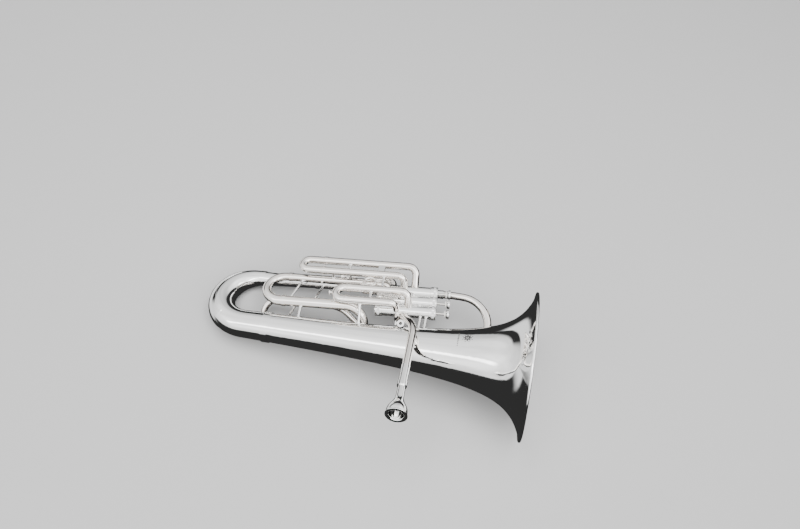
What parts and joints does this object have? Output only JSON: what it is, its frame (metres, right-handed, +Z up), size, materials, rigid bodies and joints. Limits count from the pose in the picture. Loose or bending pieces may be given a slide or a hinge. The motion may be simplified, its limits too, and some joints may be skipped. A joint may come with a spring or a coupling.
{
  "type": "tuba",
  "caption": "Small upright tuba with a wide flared bell, a tapering bottom bow, top-action piston valves, pull-out tuning slides, a water key and a seated cup mouthpiece.",
  "frame": {"origin": "middle of the footprint, on the surface that the instrument lies on", "axes": "+X towards the bell's mouth, +Z up from the surface it lies on, +Y from the bell towards the valves"},
  "size_m": [0.6748, 0.3696, 0.2806],
  "materials": {
    "silver_plate": "bright silver plate on brass",
    "piston_nickel": "satin nickel alloy",
    "slide_nickel": "drawn nickel silver",
    "spring_steel": "drawn steel wire",
    "felt": "pressed wool felt",
    "cork": "natural cork"
  },
  "bodies": {
    "instrument": {"bell": "silver_plate", "bell_rim_wire": "silver_plate", "bottom_bow": "silver_plate", "bottom_bow_guard": "silver_plate", "bell_ferrule": "silver_plate", "outer_branch": "silver_plate", "top_bow": "silver_plate", "top_bow_guard": "silver_plate", "branch_ferrules": "silver_plate", "inner_branch": "silver_plate", "inner_loop": "silver_plate", "crook": "silver_plate", "inner_ferrules": "silver_plate", "main_slide_near_sleeve": "silver_plate", "main_slide_far_sleeve": "silver_plate", "valve_links": "silver_plate", "valve_casing_1": "silver_plate", "valve_spring_1": "spring_steel", "valve_casing_2": "silver_plate", "valve_spring_2": "spring_steel", "valve_casing_3": "silver_plate", "valve_spring_3": "spring_steel", "valve_top_caps": "silver_plate", "valve_bottom_caps": "silver_plate", "slide_1_sleeves": "silver_plate", "slide_2_sleeves": "silver_plate", "slide_3_sleeves": "silver_plate", "slide_ferrules": "silver_plate", "leadpipe": "silver_plate", "tube_stays": "silver_plate", "bell_stays": "silver_plate", "thumb_ring": "silver_plate", "lyre_socket": "silver_plate", "lyre_screw": "silver_plate", "water_key_saddle": "silver_plate", "mouthpiece_receiver": "silver_plate"},
    "piston_1": {"piston_1": "piston_nickel", "valve_stem_1": "piston_nickel", "finger_button_1": "silver_plate", "button_felt_1": "felt"},
    "piston_2": {"piston_2": "piston_nickel", "valve_stem_2": "piston_nickel", "finger_button_2": "silver_plate", "button_felt_2": "felt"},
    "piston_3": {"piston_3": "piston_nickel", "valve_stem_3": "piston_nickel", "finger_button_3": "silver_plate", "button_felt_3": "felt"},
    "slide_1": {"slide_1_bow": "silver_plate", "slide_1_legs": "slide_nickel", "slide_1_knob": "silver_plate"},
    "slide_2": {"slide_2_bow": "silver_plate", "slide_2_legs": "slide_nickel"},
    "slide_3": {"slide_3_bow": "silver_plate", "slide_3_legs": "slide_nickel"},
    "main_slide": {"main_slide_bow": "silver_plate", "main_slide_legs": "slide_nickel"},
    "water_key": {"water_key_lever": "silver_plate", "water_key_cork": "cork"},
    "mouthpiece": {"mouthpiece": "silver_plate"}
  },
  "joints": [
    {"name": "valve_1", "type": "slide", "parent": "instrument", "child": "piston_1", "axis": [-0.9872, -0.0852, -0.1351], "range_m": [0, 0.0165], "stiffness_N_per_m": 90, "springref_m": -0.012, "deforming": ["valve_spring_1"]},
    {"name": "valve_2", "type": "slide", "parent": "instrument", "child": "piston_2", "axis": [-0.9872, -0.0852, -0.1351], "range_m": [0, 0.0165], "stiffness_N_per_m": 90, "springref_m": -0.012, "deforming": ["valve_spring_2"]},
    {"name": "valve_3", "type": "slide", "parent": "instrument", "child": "piston_3", "axis": [-0.9872, -0.0852, -0.1351], "range_m": [0, 0.0165], "stiffness_N_per_m": 90, "springref_m": -0.012, "deforming": ["valve_spring_3"]},
    {"name": "pull_slide_1", "type": "slide", "parent": "instrument", "child": "slide_1", "axis": [-0.9872, -0.0852, -0.1351], "range_m": [0, 0.04]},
    {"name": "pull_slide_2", "type": "slide", "parent": "instrument", "child": "slide_2", "axis": [-0.9872, -0.0852, -0.1351], "range_m": [0, 0.018]},
    {"name": "pull_slide_3", "type": "slide", "parent": "instrument", "child": "slide_3", "axis": [-0.9872, -0.0852, -0.1351], "range_m": [0, 0.09]},
    {"name": "pull_main_slide", "type": "slide", "parent": "instrument", "child": "main_slide", "axis": [-0.9872, -0.0852, -0.1351], "range_m": [0, 0.06]},
    {"name": "open_water_key", "type": "hinge", "parent": "instrument", "child": "water_key", "pos_m": [-0.066, 0.13832, 0.0966], "axis": [-0.0539, 0.9739, -0.2204], "range_deg": [0, 14], "stiffness_Nm_per_rad": 0.02, "springref_deg": -28.65},
    {"name": "pull_mouthpiece", "type": "slide", "parent": "instrument", "child": "mouthpiece", "axis": [0.0015, -0.9771, 0.2129], "range_m": [0, 0.022]}
  ]
}
